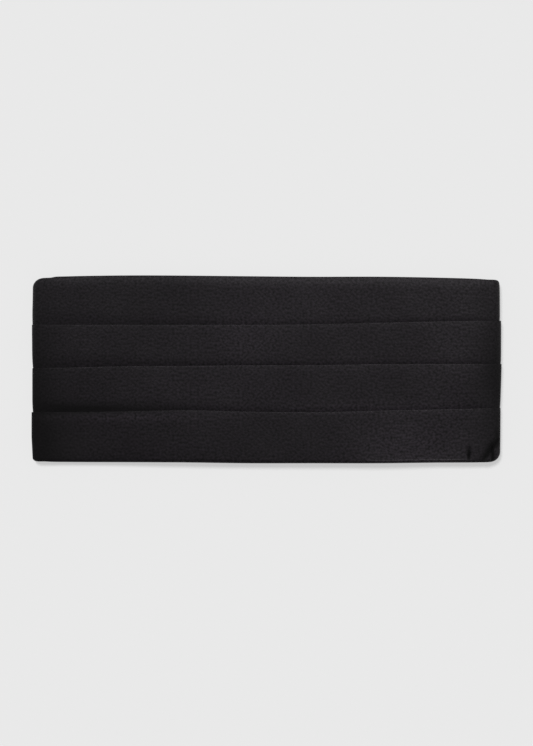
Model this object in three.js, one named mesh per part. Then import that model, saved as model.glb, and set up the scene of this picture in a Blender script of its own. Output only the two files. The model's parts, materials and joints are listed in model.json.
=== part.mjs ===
// A pleated waist sash, or cummerbund, lying on a table with its front up. Its four pleats open upward.
// The ends of the panel are folded under, and a short elastic strap with a flat clasp joins them, so the
// sash is one closed loop pressed flat.
// Millimetres, +Z up. X runs along the sash and +Y points to its upper edge. The origin is on the table,
// under the middle of the box round the sash.

import * as THREE from "three";

// The folded sash as it lies
const panelWidth = 313.5; // from folded end to folded end
const panelHeight = 125; // at its tallest
const frontSag = 0.9; // how far the front sinks between its folded ends

// Cloth
const clothWall = 1; // a pleat, which is pressed double at its fold
const backingWall = 1;
const plyGap = 0.3; // between cloths that lie on each other
const pocketShare = 0.27; // how far a pleat tucks under the next one, as a share of that one's height
const crestShare = 0.1; // the pressed flat strip below each fold, as a share of the pleat's height
const fallPower = 1.6; // how late a pleat falls away from its fold to the mouth of the next pleat

// Folded ends
const cornerRadii = { left: { rim: 3, hem: 2.7 }, right: { rim: 2.4, hem: 4 } };
const foldBlend = 14; // how far from a folded end its shape fades out
const foldRipple = 1; // the folded ends' largest departure from straight

// Wings, which are the ends of the panel that lie underneath, and taper to the strap
const wingTipHeight = 42;
const wingTaper = 1.6; // 1 tapers straight, and more keeps the height near the folded end

// Strap and clasp
const strapWidth = 25;
const strapWall = 1.1;
const strapSeam = 22; // the length sewn on the wing
const strapBare = 12.5; // the length between the wing and the end that is turned back
const strapReturn = 13; // the length turned back under the clasp's bar
const strapClear = 0.7; // free height over the strap
const claspLength = 38;
const claspWall = 1.4;
const claspBar = 3; // each bar and each side rail
const claspCorner = 3.5;
const slotClear = 1; // free length in a slot beside the strap
const slotCorner = 0.25; // less than the gap beside the strap

// The edges and fold lines of the front, seen from above. Along is a share of half the panel's width, and
// the lines are shares of its height above the middle.
const frontRows = [
  { along: -1.0, rim: 0.482, foldA: 0.238, foldB: 0.006, foldC: -0.228, hem: -0.491 },
  { along: -0.9, rim: 0.492, foldA: 0.237, foldB: 0.009, foldC: -0.228, hem: -0.494 },
  { along: -0.6, rim: 0.5, foldA: 0.237, foldB: 0.017, foldC: -0.223, hem: -0.495 },
  { along: -0.35, rim: 0.499, foldA: 0.237, foldB: 0.019, foldC: -0.217, hem: -0.496 },
  { along: -0.1, rim: 0.496, foldA: 0.237, foldB: 0.022, foldC: -0.224, hem: -0.5 },
  { along: 0.2, rim: 0.493, foldA: 0.24, foldB: 0.023, foldC: -0.227, hem: -0.5 },
  { along: 0.5, rim: 0.493, foldA: 0.248, foldB: 0.028, foldC: -0.219, hem: -0.5 },
  { along: 0.75, rim: 0.486, foldA: 0.255, foldB: 0.029, foldC: -0.213, hem: -0.497 },
  { along: 1.0, rim: 0.476, foldA: 0.259, foldB: 0.029, foldC: -0.205, hem: -0.493 },
];

// How far the folded ends stand in from their outermost line. Height is a share of the panel's height above
// the middle, and left and right are shares of the ripple.
const foldRows = [
  { height: 0.5, left: 0.3, right: 0.2 },
  { height: 0.25, left: 0.1, right: 0.3 },
  { height: 0, left: 0.4, right: 0 },
  { height: -0.25, left: 0, right: 0.6 },
  { height: -0.5, left: 0, right: 0.9 },
];

const frontSteps = 10; // in each half of the front
const wingSteps = 7;
const turnSteps = 8;
const rimSteps = 6; // round a rolled edge, an even count
const edgeSteps = 4; // round a pleat's folded edge, an even count
const faceShares = [crestShare, 0.3, 0.5, 0.7, 0.86]; // points of a pleat's face, from its fold down
const cornerShares = [0.35, 0.8]; // points beside a rolled edge, as shares of the largest corner

// Levels, measured outward from the outer face of the backing
const lowTop = plyGap + clothWall; // the face of a pleat that lies on the backing
const pocketFall = fallFromCrest(pocketShare);
const crest = lowTop + (plyGap + clothWall) / (1 - pocketFall); // the face of a pleat at its fold
const rimRadius = (lowTop + backingWall) / 2; // the rolled edge that covers the backing's edge
const largestCorner = Math.max(
  cornerRadii.left.rim,
  cornerRadii.left.hem,
  cornerRadii.right.rim,
  cornerRadii.right.hem,
);
const edgeDistances = cornerShares.map((share) => rimRadius + share * largestCorner);
const heelHeight = rimRadius + largestCorner; // the lowest pleat lies flat below this

// Heights above the table
const wingZ = crest; // the outer face of a wing's backing, which faces down
const strapZ = wingZ + backingWall + plyGap; // the strap's lower face, on the wings' inner faces
const frontZ = strapZ + strapWall + strapClear + frontSag + backingWall; // the front's, at its folded ends
const turnRadius = (frontZ - wingZ) / 2;

// Places along the sash, from its middle
const loopX = claspLength / 2 - claspBar; // a slot's outer edge, where the strap turns
const tipX = loopX + strapReturn + strapBare; // a wing's tip
const foldX = panelWidth / 2 - turnRadius - crest; // where the folded ends begin

// The fall of a pleat's face from its crest to the next pleat's mouth, from 0 to 1
function fallFromCrest(share) {
  const past = Math.max(0, share - crestShare) / (1 - crestShare);
  return Math.min(1, past) ** fallPower;
}

function rowReader(rows, key) {
  const columns = Object.keys(rows[0]).filter((name) => name !== key);
  const values = rows.flatMap((row) => columns.map((name) => row[name]));
  return new THREE.CubicInterpolant(
    rows.map((row) => row[key]),
    values,
    columns.length,
  );
}

const frontReader = rowReader(frontRows, "along");
const foldReader = rowReader([...foldRows].reverse(), "height");

// The rim, the three folds and the hem at a share of the front's half width. The last of the folds is the
// heel, where the lowest pleat has come down to the backing.
function frontLines(along) {
  const [rim, foldA, foldB, foldC, hem] = [...frontReader.evaluate(along)].map((y) => y * panelHeight);
  return { rim, folds: [foldA, foldB, foldC, hem + heelHeight], hem };
}

// The same lines on a wing, from 0 at the folded end to 1 at the tip, where they are evenly spaced
function wingLines(side, share) {
  const from = frontLines(side);
  const taper = share ** wingTaper;
  const towards = (y, tipShare) => THREE.MathUtils.lerp(y, tipShare * wingTipHeight, taper);
  const hem = towards(from.hem, -0.5);
  const folds = from.folds.slice(0, 3).map((y, i) => towards(y, 0.25 - 0.25 * i));
  return { rim: towards(from.rim, 0.5), folds: [...folds, hem + heelHeight], hem };
}

function smooth(share) {
  return THREE.MathUtils.smoothstep(share, 0, 1);
}

// Stations run from the left wing's tip round the left end, along the front and round the right end to the
// right wing's tip. Each has a point of the backing's outer face, the direction outward, the lines there,
// and how much of the folded end's shape it takes.
function wingStations(side) {
  const made = [];
  for (let i = wingSteps; i > 0; i -= 1) {
    const share = (i / wingSteps) ** 1.5;
    const distance = share * (foldX - tipX);
    made.push({
      side,
      x: side * (foldX - distance),
      z: wingZ,
      out: { x: 0, z: -1 },
      lines: wingLines(side, share),
      end: smooth(1 - distance / foldBlend),
    });
  }
  return made;
}

function turnStations(side) {
  const made = [];
  for (let i = 0; i < turnSteps; i += 1) {
    const angle = -Math.PI / 2 + (Math.PI * i) / turnSteps;
    const out = { x: side * Math.cos(angle), z: Math.sin(angle) };
    made.push({
      side,
      x: side * foldX + turnRadius * out.x,
      z: (wingZ + frontZ) / 2 + turnRadius * out.z,
      out,
      lines: frontLines(side),
      end: 1,
    });
  }
  return made;
}

function frontStations() {
  const made = [];
  for (let i = -frontSteps; i <= frontSteps; i += 1) {
    const share = Math.sin((Math.PI / 2) * (i / frontSteps));
    const slope = (4 * frontSag * share * (1 - share ** 2)) / foldX;
    const length = Math.hypot(1, slope);
    made.push({
      side: Math.sign(share),
      x: share * foldX,
      z: frontZ - frontSag * (1 - share ** 2) ** 2,
      out: { x: -slope / length, z: 1 / length },
      lines: frontLines(share),
      end: smooth(1 - (foldX * (1 - Math.abs(share))) / foldBlend),
    });
  }
  return made;
}

const stations = [
  ...wingStations(-1),
  ...turnStations(-1),
  ...frontStations(),
  ...turnStations(1).reverse(),
  ...wingStations(1).reverse(),
];

// How far a folded end stands in at a height, with its rounded corners
function endInset(side, y, lines) {
  const rows = foldReader.evaluate(y / panelHeight);
  const column = side < 0 ? 0 : 1;
  const corners = side < 0 ? cornerRadii.left : cornerRadii.right;
  const rimInset = cornerInset(lines.rim - y, corners.rim);
  const hemInset = cornerInset(y - lines.hem, corners.hem);
  return foldRipple * rows[column] + rimInset + hemInset;
}

function cornerInset(distance, radius) {
  const short = THREE.MathUtils.clamp(radius - distance, 0, radius);
  return radius - Math.sqrt(radius ** 2 - short ** 2);
}

// A point at height y and level n above the backing, at a station
function place(station, y, n) {
  const inset = station.end > 0 ? station.end * endInset(station.side, y, station.lines) : 0;
  return new THREE.Vector3(
    station.x + n * station.out.x - station.side * inset,
    y,
    station.z + n * station.out.z,
  );
}

// A closed strip through the stations, with the same count of section points at each. A section runs from
// its lower end up along the outer side and back along the inner one.
function loft(sectionAt) {
  const rings = stations.map((station) => sectionAt(station.lines).map(([y, n]) => place(station, y, n)));
  const count = rings[0].length;
  const triangles = [];
  for (let ring = 0; ring + 1 < rings.length; ring += 1) {
    for (let i = 0; i < count; i += 1) {
      const a = ring * count + i;
      const b = ring * count + ((i + 1) % count);
      triangles.push(a, b + count, b, a, a + count, b + count);
    }
  }
  const last = (rings.length - 1) * count;
  for (const [a, b, c] of endTriangles(rings[0])) {
    triangles.push(a, b, c, last + c, last + b, last + a);
  }
  const geometry = new THREE.BufferGeometry().setFromPoints(rings.flat());
  geometry.setIndex(triangles);
  geometry.computeVertexNormals();
  return geometry;
}

// Fills a strip's end by steps between its outer and inner side, each cut across its shorter diagonal
function endTriangles(ring) {
  const made = [];
  for (let i = 0, j = ring.length - 1; i + 1 < j; i += 1, j -= 1) {
    if (i + 1 === j - 1) {
      made.push([i, i + 1, j]);
    } else if (ring[i + 1].distanceTo(ring[j]) < ring[i].distanceTo(ring[j - 1])) {
      made.push([i, i + 1, j], [i + 1, j - 1, j]);
    } else {
      made.push([i, i + 1, j - 1], [i, j - 1, j]);
    }
  }
  return made;
}

function arc(y, n, radius, from, to, steps) {
  return Array.from({ length: steps + 1 }, (_, i) => {
    const angle = THREE.MathUtils.lerp(from, to, i / steps);
    return [y + radius * Math.cos(angle), n + radius * Math.sin(angle)];
  });
}

// Where a pleat's hidden end lies, tucked under the fold of the next one
function tuckHeight(folds, next) {
  return folds[next] - pocketShare * (folds[next] - folds[next + 1]);
}

// A pleat's face, from its fold down to where it lies on the backing, as points of height and level
function pleatFace(folds, i) {
  return faceShares.map((share) => [
    folds[i] - share * (folds[i] - folds[i + 1]),
    crest - (crest - lowTop) * fallFromCrest(share),
  ]);
}

function pleatEdge(fold) {
  const radius = clothWall / 2;
  return arc(fold - radius, crest - radius, radius, Math.PI / 2, -Math.PI / 2, edgeSteps);
}

// The uppermost pleat lies flat on the backing, rolls over its upper edge and tucks under the next pleat
function topPleat({ rim, folds }) {
  const tuckY = tuckHeight(folds, 0);
  const bendY = rim - rimRadius;
  const near = edgeDistances.map((distance) => rim - distance);
  return [
    [tuckY, lowTop],
    ...near.toReversed().map((y) => [y, lowTop]),
    ...arc(bendY, lowTop - rimRadius, rimRadius, Math.PI / 2, -Math.PI / 2, rimSteps),
    [bendY, plyGap],
    ...near.map((y) => [y, plyGap]),
    [tuckY, plyGap],
  ];
}

// A middle pleat rises to its own fold and tucks under the next one
function middlePleat({ folds }, i) {
  const tuckY = tuckHeight(folds, i + 1);
  const face = pleatFace(folds, i);
  return [
    [tuckY, lowTop],
    [folds[i + 1], lowTop],
    ...face.toReversed(),
    ...pleatEdge(folds[i]),
    ...face.map(([y, n]) => [y, n - clothWall]),
    [folds[i + 1], plyGap],
    [tuckY, plyGap],
  ];
}

// The lowest pleat falls to the backing and rolls over its lower edge
function bottomPleat({ folds, hem }) {
  const face = pleatFace(folds, 2);
  const bendY = hem + rimRadius;
  const near = [...edgeDistances, heelHeight].map((distance) => hem + distance);
  const roll = arc(bendY, lowTop - rimRadius, rimRadius, (3 * Math.PI) / 2, Math.PI / 2, rimSteps);
  return [
    ...roll.slice(rimSteps / 2),
    ...near.map((y) => [y, lowTop]),
    ...face.toReversed(),
    ...pleatEdge(folds[2]),
    ...face.map(([y, n]) => [y, n - clothWall]),
    ...near.toReversed().map((y) => [y, plyGap]),
    [bendY, plyGap],
    ...roll.slice(0, rimSteps / 2),
  ];
}

// The cloth that carries the pleats, between the rolled edges
function backingSection({ rim, folds, hem }) {
  const distances = [rimRadius + plyGap, ...edgeDistances];
  const heights = [
    ...distances.map((distance) => hem + distance),
    ...folds.slice(0, 3).toReversed(),
    ...distances.toReversed().map((distance) => rim - distance),
  ];
  return [...heights.map((y) => [y, 0]), ...heights.toReversed().map((y) => [y, -backingWall])];
}

// The clasp's bar, and the strap's turn round it
const barTop = strapZ - plyGap;
const barMiddle = barTop - claspWall / 2;
const loopInner = claspWall / 2 + plyGap;
const loopOuter = loopInner + strapWall;

// One half of the strap, from its seam on a wing, round the clasp's bar and a little way back
function strapHalf(side) {
  const profile = new THREE.Shape();
  profile.moveTo(tipX + strapSeam, barMiddle + loopInner);
  profile.lineTo(tipX + strapSeam, barMiddle + loopOuter);
  profile.lineTo(loopX, barMiddle + loopOuter);
  profile.absarc(loopX, barMiddle, loopOuter, Math.PI / 2, (3 * Math.PI) / 2, false);
  profile.lineTo(loopX + strapReturn, barMiddle - loopOuter);
  profile.lineTo(loopX + strapReturn, barMiddle - loopInner);
  profile.absarc(loopX, barMiddle, loopInner, (3 * Math.PI) / 2, Math.PI / 2, true);
  const geometry = new THREE.ExtrudeGeometry(profile, {
    depth: strapWidth,
    bevelEnabled: false,
    curveSegments: turnSteps,
  });
  geometry.translate(0, 0, -strapWidth / 2);
  geometry.rotateX(Math.PI / 2);
  return side < 0 ? geometry.rotateZ(Math.PI) : geometry;
}

function roundedRectangle(path, middleX, halfLength, halfWidth, corner) {
  const right = middleX + halfLength - corner;
  const left = middleX - halfLength + corner;
  const upper = halfWidth - corner;
  path.moveTo(right + corner, -upper);
  path.absarc(right, upper, corner, 0, Math.PI / 2, false);
  path.absarc(left, upper, corner, Math.PI / 2, Math.PI, false);
  path.absarc(left, -upper, corner, Math.PI, (3 * Math.PI) / 2, false);
  path.absarc(right, -upper, corner, (3 * Math.PI) / 2, 2 * Math.PI, false);
  return path;
}

// A flat plate with a slot near each end for the strap
function claspPlate() {
  const slotHalfWidth = strapWidth / 2 + plyGap;
  const slotHalfLength = (loopOuter + slotClear) / 2;
  const slotX = loopX - slotHalfLength;
  const plate = new THREE.Shape();
  roundedRectangle(plate, 0, claspLength / 2, slotHalfWidth + claspBar, claspCorner);
  plate.holes = [-slotX, slotX].map((x) =>
    roundedRectangle(new THREE.Path(), x, slotHalfLength, slotHalfWidth, slotCorner),
  );
  const geometry = new THREE.ExtrudeGeometry(plate, {
    depth: claspWall,
    bevelEnabled: false,
    curveSegments: rimSteps,
  });
  return geometry.translate(0, 0, barTop - claspWall);
}

const shellCloth = new THREE.MeshStandardMaterial({ color: 0x212023, roughness: 0.78, metalness: 0 });
const backingCloth = new THREE.MeshStandardMaterial({ color: 0x1c1c1f, roughness: 0.6, metalness: 0 });
const elastic = new THREE.MeshStandardMaterial({ color: 0x1b1b1d, roughness: 0.85, metalness: 0 });
const claspMetal = new THREE.MeshStandardMaterial({ color: 0x17171a, roughness: 0.4, metalness: 0.6 });

function addPiece(group, name, geometry, material) {
  const mesh = new THREE.Mesh(geometry, material);
  mesh.name = name;
  group.add(mesh);
}

const sash = new THREE.Group();
addPiece(sash, "top_pleat", loft(topPleat), shellCloth);
addPiece(sash, "upper_pleat", loft((lines) => middlePleat(lines, 0)), shellCloth);
addPiece(sash, "lower_pleat", loft((lines) => middlePleat(lines, 1)), shellCloth);
addPiece(sash, "bottom_pleat", loft(bottomPleat), shellCloth);
addPiece(sash, "backing", loft(backingSection), backingCloth);
addPiece(sash, "strap_left", strapHalf(-1), elastic);
addPiece(sash, "strap_right", strapHalf(1), elastic);
addPiece(sash, "clasp", claspPlate(), claspMetal);

// The middle of the box round the sash goes over the origin
const box = new THREE.Box3().setFromObject(sash);
sash.position.set(-(box.min.x + box.max.x) / 2, -(box.min.y + box.max.y) / 2, -box.min.z);

export default sash;
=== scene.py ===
"""A black pleated waist sash with its ends folded under, lying on a pale table in soft light.

Every cloth of the sash follows one path, from the left wing's tip round the left folded end, along the
front and round the right folded end to the right wing's tip. A cloth's section gives its height on the
panel and its depth below the path, so the pleats, the lining and the strap fit on each other.
"""

import json
import math

import bpy
import numpy as np
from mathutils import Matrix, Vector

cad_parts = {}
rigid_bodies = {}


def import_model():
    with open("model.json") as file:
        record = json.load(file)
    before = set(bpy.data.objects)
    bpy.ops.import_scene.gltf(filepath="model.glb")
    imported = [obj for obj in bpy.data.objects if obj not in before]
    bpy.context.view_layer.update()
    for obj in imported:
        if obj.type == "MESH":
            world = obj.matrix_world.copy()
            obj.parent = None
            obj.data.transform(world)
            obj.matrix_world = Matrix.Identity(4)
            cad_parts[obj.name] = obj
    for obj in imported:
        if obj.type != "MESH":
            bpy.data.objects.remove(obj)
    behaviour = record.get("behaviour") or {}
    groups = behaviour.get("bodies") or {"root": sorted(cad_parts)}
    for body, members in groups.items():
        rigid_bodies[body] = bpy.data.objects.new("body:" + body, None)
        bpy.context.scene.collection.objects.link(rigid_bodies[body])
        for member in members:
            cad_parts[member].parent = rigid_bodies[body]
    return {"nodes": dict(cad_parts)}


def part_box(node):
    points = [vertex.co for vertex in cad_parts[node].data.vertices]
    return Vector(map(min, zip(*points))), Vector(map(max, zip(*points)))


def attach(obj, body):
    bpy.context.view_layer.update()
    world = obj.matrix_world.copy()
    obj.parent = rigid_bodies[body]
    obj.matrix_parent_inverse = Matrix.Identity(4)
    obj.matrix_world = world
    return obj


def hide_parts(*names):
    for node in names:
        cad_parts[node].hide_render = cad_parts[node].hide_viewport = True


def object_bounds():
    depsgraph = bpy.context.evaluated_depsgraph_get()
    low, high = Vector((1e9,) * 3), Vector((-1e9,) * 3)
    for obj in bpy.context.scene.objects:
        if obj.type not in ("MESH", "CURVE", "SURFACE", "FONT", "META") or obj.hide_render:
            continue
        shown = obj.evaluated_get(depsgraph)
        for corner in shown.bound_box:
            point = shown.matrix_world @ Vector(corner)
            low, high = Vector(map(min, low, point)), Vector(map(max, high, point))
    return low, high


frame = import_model()
cad_low, cad_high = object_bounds()

MM = 0.001

# Sizes of the folded sash, from the frame
HALF_LENGTH = (cad_high.x - cad_low.x) / 2
PANEL_HEIGHT = cad_high.y - cad_low.y
THICKNESS = cad_high.z - cad_low.z
TURN_RADIUS = THICKNESS / 2
FOLD_X = HALF_LENGTH - TURN_RADIUS
STRAP_SEAM = 22 * MM  # how far a strap lies on its wing
TIP_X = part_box("strap_right")[1].x - STRAP_SEAM
FRONT_SAG = 0.9 * MM  # how much lower the front lies in its middle than at its ends
WING_TIP_HEIGHT = 42 * MM
WING_TAPER = 1.6  # the power by which a wing narrows towards its tip
END_BLEND = 14 * MM  # how far from a folded end its insets and its pressing fade out

# Steps of the path
WING_STEPS = 58
TURN_STEPS = 29
FRONT_STEP = 1.5 * MM
GATHERED_STEP = 0.45 * MM
GATHERED_END = 22 * MM  # the right end of the front, where the gathers are
TIP_STEPS = np.array([0, 0.05, 0.14, 0.3]) * MM  # along a wing's rounded tip
TIP_NEXT = 1.2 * MM

# Cloth, and its depths below the crest of the pleats
CLOTH = 0.32 * MM
FOLD_RADIUS = 0.17 * MM  # the middle of the cloth round a pressed fold
FOLD_DIP = 0.12 * MM
MOUTH_DEPTH = 0.85 * MM
RIM_DIP = 0.15 * MM
HEM_DROP = 0.15  # in millimetres
BACKING_FRONT = 1.45 * MM
BACKING_BACK = 3.1 * MM
HEM_BACK = 3.7 * MM
LINING_EDGE = 1.7 * MM  # how far the lining's edges stay inside the rim and the hem
HEM_SHARE = 0.065  # the hem turned to the back, as a share of the panel's height
TUCK_SHARE = 0.27  # how far a pleat runs on under the next one, as a share of that one's height
RETURN_SHARE = 0.35  # how far a fold's hidden return runs down, as a share of its pleat's height
RIM_FACE_START = 0.044  # where the roll round the rim meets the face, as a share of the pleat's height
LATE_FALL = 0.55  # where a face's late fall into the next pleat's mouth starts
END_PRESS = 0.55  # the plies' thickness where an end is folded, as a share of the thickness elsewhere

# The edges and fold lines of the front, as shares of the half width and of the panel's height
FRONT_ROWS = [
    {"along": -1.0, "rim": 0.487, "fold_a": 0.238, "fold_b": 0.006, "fold_c": -0.228, "hem": -0.491},
    {"along": -0.95, "rim": 0.492, "fold_a": 0.237, "fold_b": 0.008, "fold_c": -0.228, "hem": -0.493},
    {"along": -0.87, "rim": 0.495, "fold_a": 0.237, "fold_b": 0.010, "fold_c": -0.228, "hem": -0.494},
    {"along": -0.6, "rim": 0.500, "fold_a": 0.237, "fold_b": 0.017, "fold_c": -0.223, "hem": -0.495},
    {"along": -0.35, "rim": 0.499, "fold_a": 0.237, "fold_b": 0.019, "fold_c": -0.217, "hem": -0.496},
    {"along": -0.1, "rim": 0.496, "fold_a": 0.237, "fold_b": 0.022, "fold_c": -0.224, "hem": -0.500},
    {"along": 0.2, "rim": 0.493, "fold_a": 0.240, "fold_b": 0.023, "fold_c": -0.227, "hem": -0.500},
    {"along": 0.5, "rim": 0.493, "fold_a": 0.248, "fold_b": 0.028, "fold_c": -0.219, "hem": -0.500},
    {"along": 0.75, "rim": 0.488, "fold_a": 0.255, "fold_b": 0.029, "fold_c": -0.213, "hem": -0.497},
    {"along": 0.92, "rim": 0.482, "fold_a": 0.258, "fold_b": 0.029, "fold_c": -0.208, "hem": -0.496},
    {"along": 1.0, "rim": 0.477, "fold_a": 0.259, "fold_b": 0.029, "fold_c": -0.205, "hem": -0.495},
]
TIP_SHARES = {"rim": 0.5, "fold_a": 0.25, "fold_b": 0.0, "fold_c": -0.25, "hem": -0.5}
LINES = list(TIP_SHARES)

# How far each pleat's folded ends stand in, in millimetres, at its upper edge, middle and lower edge
END_INSETS = {
    "top_pleat": {"left": (1.0, 0.75, 0.33), "right": (1.25, 1.05, 0.87)},
    "upper_pleat": {"left": (0.33, 0.45, 0.6), "right": (0.33, 0.27, 0.2)},
    "lower_pleat": {"left": (0.6, 0.6, 0.57), "right": (0.0, 0.35, 0.7)},
    "bottom_pleat": {"left": (0.1, 0.1, 0.9), "right": (0.7, 0.85, 1.05)},
}
CORNERS = {"left": {"rim": 6.5 * MM, "hem": 2.4 * MM}, "right": {"rim": 2.1 * MM, "hem": 7 * MM}}

# Gathers at the lower right corner, with painted shade along their creases: from and to, the reach of the
# left and the right flank and the depth, in millimetres, and the share of the way where it is widest
GATHERS = [
    {"from": (134.2, -62.0), "to": (134.8, -51.0), "left": 1.3, "right": 1.3, "depth": 1.3, "widest": 0.45},
    {"from": (141.3, -64.5), "to": (157.1, -43.0), "left": 2.3, "right": 1.5, "depth": 1.7, "widest": 0.6},
    {"from": (151.0, -63.5), "to": (149.6, -50.0), "left": 1.3, "right": 1.2, "depth": 1.1, "widest": 0.5},
]
GATHER_SWELL = 0.6  # the power by which a gather opens from its ends
GATHER_NARROWEST = 0.3  # a flank's reach at a gather's ends, as a share of its widest reach

# Where the front lies lower: from a point it falls one way, by a height over a length in millimetres
SLOPES = [
    {"from": (-92, 2), "lean": (-0.5, -0.87), "over": 80, "height": -2.0},
    {"from": (-100, 70), "lean": (-0.95, -0.3), "over": 60, "height": -0.4},
    {"from": (-126, 0), "lean": (-0.75, -0.66), "over": 34, "height": -0.8},
    {"from": (118, 20), "lean": (0.7, -0.71), "over": 60, "height": -0.8},
    {"from": (134, 6), "lean": (0.8, -0.6), "over": 28, "height": -0.6},
]

# Slow unevenness of the front, in millimetres: height, lengths of a wave along and across, and its start
WAVES = [
    {"height": 0.16, "along": 110, "across": 160, "start": 0.6},
    {"height": 0.10, "along": -63, "across": 74, "start": 2.1},
    {"height": 0.05, "along": 34, "across": 47, "start": 4.0},
    {"height": 0.025, "along": -19, "across": 29, "start": 5.2},
]

# Patches of painted shade, where the cloth is darker and less glossy, or of painted light where the share
# is
# below 0: middle and reach in millimetres
PAINTED_SHADE_PATCHES = [
    {"middle": (-158, -14), "reach": (18, 90), "darkening": 0.5},
    {"middle": (-158, -56), "reach": (38, 42), "darkening": 0.5},
    {"middle": (-116, -26.5), "reach": (56, 4), "darkening": 0.6},
    {"middle": (-100, -31.2), "reach": (56, 2.8), "darkening": -0.75},
    {"middle": (60, -25), "reach": (90, 4), "darkening": -0.30},
    {"middle": (-78, 50), "reach": (40, 26), "darkening": 0.14},
    {"middle": (157, -8), "reach": (17, 60), "darkening": 0.56},
    {"middle": (152, -54), "reach": (14, 14), "darkening": 0.14},
    {"middle": (153.8, -45.5), "reach": (1.6, 6), "darkening": 0.75},
    {"middle": (154, -56), "reach": (2.4, 5), "darkening": -0.6},
    {"middle": (2, -48), "reach": (28, 18), "darkening": 0.12},
    {"middle": (94, -52), "reach": (34, 20), "darkening": -0.58},
    {"middle": (124, -2), "reach": (22, 38), "darkening": -0.20},
    {"middle": (16, 46), "reach": (60, 20), "darkening": -0.22},
    {"middle": (-16, 20), "reach": (24, 15), "darkening": -0.45},
    {"middle": (-28, -12), "reach": (52, 13), "darkening": -0.2},
    {"middle": (70, 3), "reach": (60, 5), "darkening": -0.12},
]


def smooth(share):
    """From 0 to 1, level at both ends: the cubic 3 t^2 - 2 t^3."""
    share = np.clip(share, 0, 1)
    return share * share * (3 - 2 * share)


def through(positions, values, at):
    """Between two rows, the cubic that has each row's value, and its slope from the rows beside it."""
    slopes = np.gradient(values, positions)
    i = np.clip(np.searchsorted(positions, at) - 1, 0, len(positions) - 2)
    gap = positions[i + 1] - positions[i]
    t = (at - positions[i]) / gap
    rise = (1 + 2 * t) * (1 - t) ** 2 * values[i] + t * t * (3 - 2 * t) * values[i + 1]
    lean = t * (1 - t) ** 2 * slopes[i] - t * t * (1 - t) * slopes[i + 1]
    return rise + gap * lean


def front_line(name, along):
    """A line's height on the front, at shares of the half width from -1 to 1."""
    positions = np.array([row["along"] for row in FRONT_ROWS])
    values = np.array([row[name] for row in FRONT_ROWS])
    return through(positions, values, along) * PANEL_HEIGHT


def uneven_steps(start, end, coarse, fine, fine_from):
    """Steps from start to end, coarse apart, and fine apart past fine_from."""
    first = np.linspace(start, fine_from, int((fine_from - start) / coarse) + 1)
    second = np.linspace(fine_from, end, int((end - fine_from) / fine) + 1)
    return np.concatenate([first, second[1:]])


def sash_path():
    """The crest line. A wing is straight on the table, a folded end is a half circle whose top is the
    front's end, and the front sinks by (1 - u^2)^2 of the sag, with u from -1 to 1 between the ends.

    Each step has its place and outward direction, its side, and its run from the left tip. Taper is 1 at a
    wing's tip, end is 1 at a folded end, front is 1 on the front, and cap thins a wing's last steps."""
    far = np.concatenate([TIP_STEPS, np.linspace(TIP_NEXT, FOLD_X - TIP_X, WING_STEPS)])
    wing_x = TIP_X + far[:-1]
    angles = np.linspace(-math.pi / 2, math.pi / 2, TURN_STEPS)[:-1]
    turn_x = FOLD_X + TURN_RADIUS * np.cos(angles)
    front_x = uneven_steps(-FOLD_X, FOLD_X, FRONT_STEP, GATHERED_STEP, FOLD_X - GATHERED_END)

    def side_part(side):
        x = np.concatenate([wing_x, turn_x])
        z = np.concatenate([0 * wing_x, TURN_RADIUS * (1 + np.sin(angles))])
        nx = np.concatenate([0 * wing_x, np.cos(angles)])
        nz = np.concatenate([-1 + 0 * wing_x, np.sin(angles)])
        return np.stack([side * x, z, side * nx, nz])

    u = front_x / FOLD_X
    slope = 4 * FRONT_SAG * u * (1 - u**2) / FOLD_X
    front = np.stack([front_x, THICKNESS - FRONT_SAG * (1 - u**2) ** 2, -slope, 1 + 0 * u])
    front[2:] /= np.hypot(front[2], front[3])
    x, z, nx, nz = np.concatenate([side_part(-1), front, side_part(1)[:, ::-1]], axis=1)
    on_wing = (nz == -1) & (np.abs(x) < FOLD_X)
    beside_fold = FOLD_X - np.minimum(np.abs(x), FOLD_X)
    tip_gap = np.where(on_wing, np.abs(x) - TIP_X, 1)
    return {
        "x": x,
        "z": z,
        "nx": nx,
        "nz": nz,
        "side": np.sign(x),
        "taper": np.where(on_wing, beside_fold / (FOLD_X - TIP_X), 0) ** WING_TAPER,
        "end": smooth(1 - beside_fold / END_BLEND),
        "front": smooth(nz),
        "cap": np.sqrt(1 - (1 - np.clip(tip_gap / TIP_STEPS[-1], 0.02, 1)) ** 2),
        "run": np.concatenate([[0], np.cumsum(np.hypot(np.diff(x), np.diff(z)))]),
    }


path = sash_path()


def panel_lines():
    """The rim, folds and hem at each step of the path. On a wing they close in to even spaces."""
    along = np.clip(path["x"] / FOLD_X, -1, 1)
    along = np.where(path["taper"] > 0, path["side"], along)
    lines = {}
    for name in LINES:
        at_front = front_line(name, along)
        at_tip = TIP_SHARES[name] * WING_TIP_HEIGHT
        lines[name] = (at_front + (at_tip - at_front) * path["taper"])[:, None]
    return lines


lines = panel_lines()
HEM_TURN = HEM_SHARE * (lines["rim"] - lines["hem"])


def line_ends(side):
    """The heights of the rim, the folds and the hem at one folded end."""
    return [front_line(line, np.array([side]))[0] for line in LINES]


def corner_inset(side_name, y):
    """How far the panel's rounded corners stand in at a height: along a circle from the rim and the hem."""
    inset = np.zeros_like(y)
    for line, gap in (("rim", lines["rim"] - y), ("hem", y - lines["hem"])):
        radius = CORNERS[side_name][line]
        short = np.clip(radius - gap, 0, radius)
        inset = inset + radius - np.sqrt(radius**2 - short**2)
    return inset


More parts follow.
